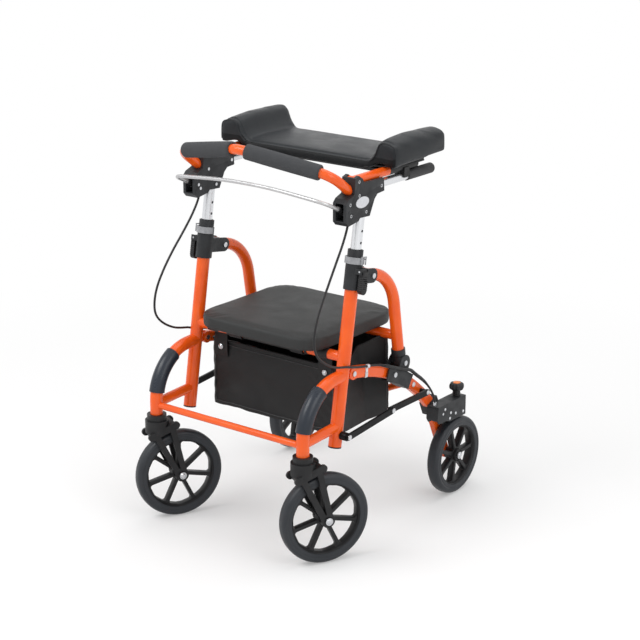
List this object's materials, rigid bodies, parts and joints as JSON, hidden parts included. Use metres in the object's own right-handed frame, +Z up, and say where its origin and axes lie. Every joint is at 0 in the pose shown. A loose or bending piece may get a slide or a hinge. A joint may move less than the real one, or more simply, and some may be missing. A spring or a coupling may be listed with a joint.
{
  "type": "upright walker",
  "caption": "Four-wheeled upright walker with a forearm pad, looped brake lever, telescoping handles, flip-up seat over a cloth bag, swivel castors and a folding rear frame.",
  "frame": {"origin": "on the floor under the centre of the bounding box", "axes": "+Z up, the castors at the front toward -Y, the person stands at +Y and +X is on the right of a viewer who faces the front from -Y"},
  "size_m": [0.5298, 0.666, 0.8691],
  "materials": {
    "orange_paint": "gloss",
    "black_plastic": "satin",
    "black_steel": "satin",
    "silver_tube": "brushed",
    "bright_steel": "plated",
    "tyre_rubber": "matte",
    "soft_rubber": "matte",
    "foam": "closed-cell foam",
    "vinyl": "stitched vinyl",
    "nylon_cloth": "woven nylon"
  },
  "bodies": {
    "front_frame": {"post_left": "orange_paint", "post_right": "orange_paint", "front_arc_left": "orange_paint", "front_arc_right": "orange_paint", "lower_braces": "orange_paint", "front_crossbar": "orange_paint", "seat_rail_front": "orange_paint", "post_plugs": "black_plastic", "bumper_sleeves": "soft_rubber", "post_pins": "bright_steel", "bag": "nylon_cloth", "cable_uppers": "soft_rubber"},
    "rear_frame": {"rear_arch_left": "orange_paint", "rear_arch_right": "orange_paint", "saddles": "black_plastic", "rear_crossbar": "orange_paint", "rear_bolts": "bright_steel", "brake_housings": "black_plastic", "cable_guides": "black_plastic", "cable_lowers": "soft_rubber"},
    "collars": {"collar_left": "black_plastic", "collar_right": "black_plastic", "clamp_bands": "bright_steel", "lug_bolts": "bright_steel"},
    "latch_left": {"latch_lever_left": "black_plastic"},
    "latch_right": {"latch_lever_right": "black_plastic"},
    "canes": {"cane_left": "orange_paint", "cane_right": "orange_paint", "seat_rail_rear": "orange_paint"},
    "stay_front": {"stay_fronts": "black_steel", "stay_bolts": "bright_steel"},
    "stay_rear": {"stay_rears": "black_steel"},
    "fork_left": {"castor_fork_left": "black_plastic"},
    "fork_right": {"castor_fork_right": "black_plastic"},
    "castor_left": {"castor_rim_left": "black_plastic", "castor_tyre_left": "tyre_rubber"},
    "castor_right": {"castor_rim_right": "black_plastic", "castor_tyre_right": "tyre_rubber"},
    "rear_wheel_left": {"rear_rim_left": "black_plastic", "rear_tyre_left": "tyre_rubber"},
    "rear_wheel_right": {"rear_rim_right": "black_plastic", "rear_tyre_right": "tyre_rubber"},
    "shoes": {"brake_shoes": "soft_rubber"},
    "knob_left": {"drag_knob_left": "black_plastic"},
    "knob_right": {"drag_knob_right": "black_plastic"},
    "handles": {"height_tubes": "silver_tube", "bracket_outer_shells": "black_plastic", "bracket_inner_shells": "black_plastic", "bracket_screws": "bright_steel", "push_tubes": "silver_tube", "push_grips": "soft_rubber", "handlebar": "orange_paint", "foam_grips": "foam"},
    "loop": {"brake_loop": "silver_tube", "brake_levers": "black_plastic"},
    "armrest": {"pad_rails": "orange_paint", "pad_board": "black_plastic", "armrest_pad": "vinyl"},
    "seat": {"seat_board": "black_plastic", "seat_cushion": "vinyl"}
  },
  "joints": [
    {"name": "rear_fold", "type": "hinge", "parent": "front_frame", "child": "rear_frame", "pos_m": [-0.01658, -0.12052, 0.38216], "axis": [-1, 0, 0], "range_deg": [0, 34], "deforming": ["bag", "cable_lowers"]},
    {"name": "collar_slide", "type": "slide", "parent": "front_frame", "child": "collars", "axis": [0, -0.1668, -0.986], "range_m": [0, 0.0834], "deforming": ["bag"]},
    {"name": "cane_hinge", "type": "hinge", "parent": "collars", "child": "canes", "pos_m": [-0.01658, -0.06578, 0.58588], "axis": [-1, 0, 0], "range_deg": [0, 7.3], "deforming": ["bag"]},
    {"name": "stay_front_hinge", "type": "hinge", "parent": "front_frame", "child": "stay_front", "pos_m": [-0.01658, -0.16964, 0.25964], "axis": [-1, 0, 0], "range_deg": [-5.3, 0]},
    {"name": "stay_mid_hinge", "type": "hinge", "parent": "stay_front", "child": "stay_rear", "pos_m": [-0.01658, -0.01153, 0.27301], "axis": [-1, 0, 0], "range_deg": [0, 79.5]},
    {"name": "castor_swivel_left", "type": "hinge", "parent": "front_frame", "child": "fork_left", "pos_m": [0.18742, -0.28298, 0.24], "axis": [0, 0, 1], "continuous": true},
    {"name": "castor_spin_left", "type": "hinge", "parent": "fork_left", "child": "castor_left", "pos_m": [0.20922, -0.24021, 0.1], "axis": [0.891, -0.454, 0], "continuous": true},
    {"name": "rear_spin_left", "type": "hinge", "parent": "rear_frame", "child": "rear_wheel_left", "pos_m": [0.21442, 0.24202, 0.091], "axis": [1, 0, 0], "continuous": true},
    {"name": "latch_left_swing", "type": "hinge", "parent": "collars", "child": "latch_left", "pos_m": [0.21142, -0.11111, 0.60572], "axis": [0, -0.986, 0.1668], "range_deg": [0, 100]},
    {"name": "drag_knob_left_turn", "type": "hinge", "parent": "rear_frame", "child": "knob_left", "pos_m": [0.21292, 0.25106, 0.235], "axis": [0, 0, 1], "range_deg": [-150, 150]},
    {"name": "castor_swivel_right", "type": "hinge", "parent": "front_frame", "child": "fork_right", "pos_m": [-0.22058, -0.28298, 0.24], "axis": [0, 0, 1], "continuous": true},
    {"name": "castor_spin_right", "type": "hinge", "parent": "fork_right", "child": "castor_right", "pos_m": [-0.19878, -0.24021, 0.1], "axis": [0.891, -0.454, 0], "continuous": true},
    {"name": "rear_spin_right", "type": "hinge", "parent": "rear_frame", "child": "rear_wheel_right", "pos_m": [-0.24758, 0.24202, 0.091], "axis": [1, 0, 0], "continuous": true},
    {"name": "latch_right_swing", "type": "hinge", "parent": "collars", "child": "latch_right", "pos_m": [-0.24458, -0.11111, 0.60572], "axis": [0, 0.986, -0.1668], "range_deg": [0, 100]},
    {"name": "drag_knob_right_turn", "type": "hinge", "parent": "rear_frame", "child": "knob_right", "pos_m": [-0.24608, 0.25106, 0.235], "axis": [0, 0, 1], "range_deg": [-150, 150]},
    {"name": "handle_height", "type": "slide", "parent": "front_frame", "child": "handles", "axis": [0, 0.1668, 0.986], "range_m": [0, 0.136], "deforming": ["cable_uppers"]},
    {"name": "armrest_lift", "type": "hinge", "parent": "handles", "child": "armrest", "pos_m": [-0.01658, -0.11525, 0.7952], "axis": [1, 0, 0], "range_deg": [0, 75]},
    {"name": "brake_squeeze", "type": "hinge", "parent": "handles", "child": "loop", "pos_m": [-0.01658, -0.14825, 0.73724], "axis": [-1, 0, 0], "range_deg": [0, 12], "stiffness_Nm_per_rad": 2},
    {"name": "shoe_press", "type": "hinge", "parent": "rear_frame", "child": "shoes", "pos_m": [-0.01658, 0.17582, 0.2103], "axis": [-1, 0, 0], "range_deg": [0, 1.5]},
    {"name": "seat_flip", "type": "hinge", "parent": "front_frame", "child": "seat", "pos_m": [-0.01658, -0.14213, 0.42233], "axis": [1, 0, 0], "range_deg": [0, 90]}
  ],
  "couplings": [
    {"joint": "collar_slide", "follows": "rear_fold", "m_per_rad": 0.14047},
    {"joint": "cane_hinge", "follows": "rear_fold", "ratio": 0.21255},
    {"joint": "stay_front_hinge", "follows": "rear_fold", "ratio": -0.15535},
    {"joint": "stay_mid_hinge", "follows": "rear_fold", "ratio": 2.3367},
    {"joint": "shoe_press", "follows": "brake_squeeze", "ratio": 0.125}
  ]
}
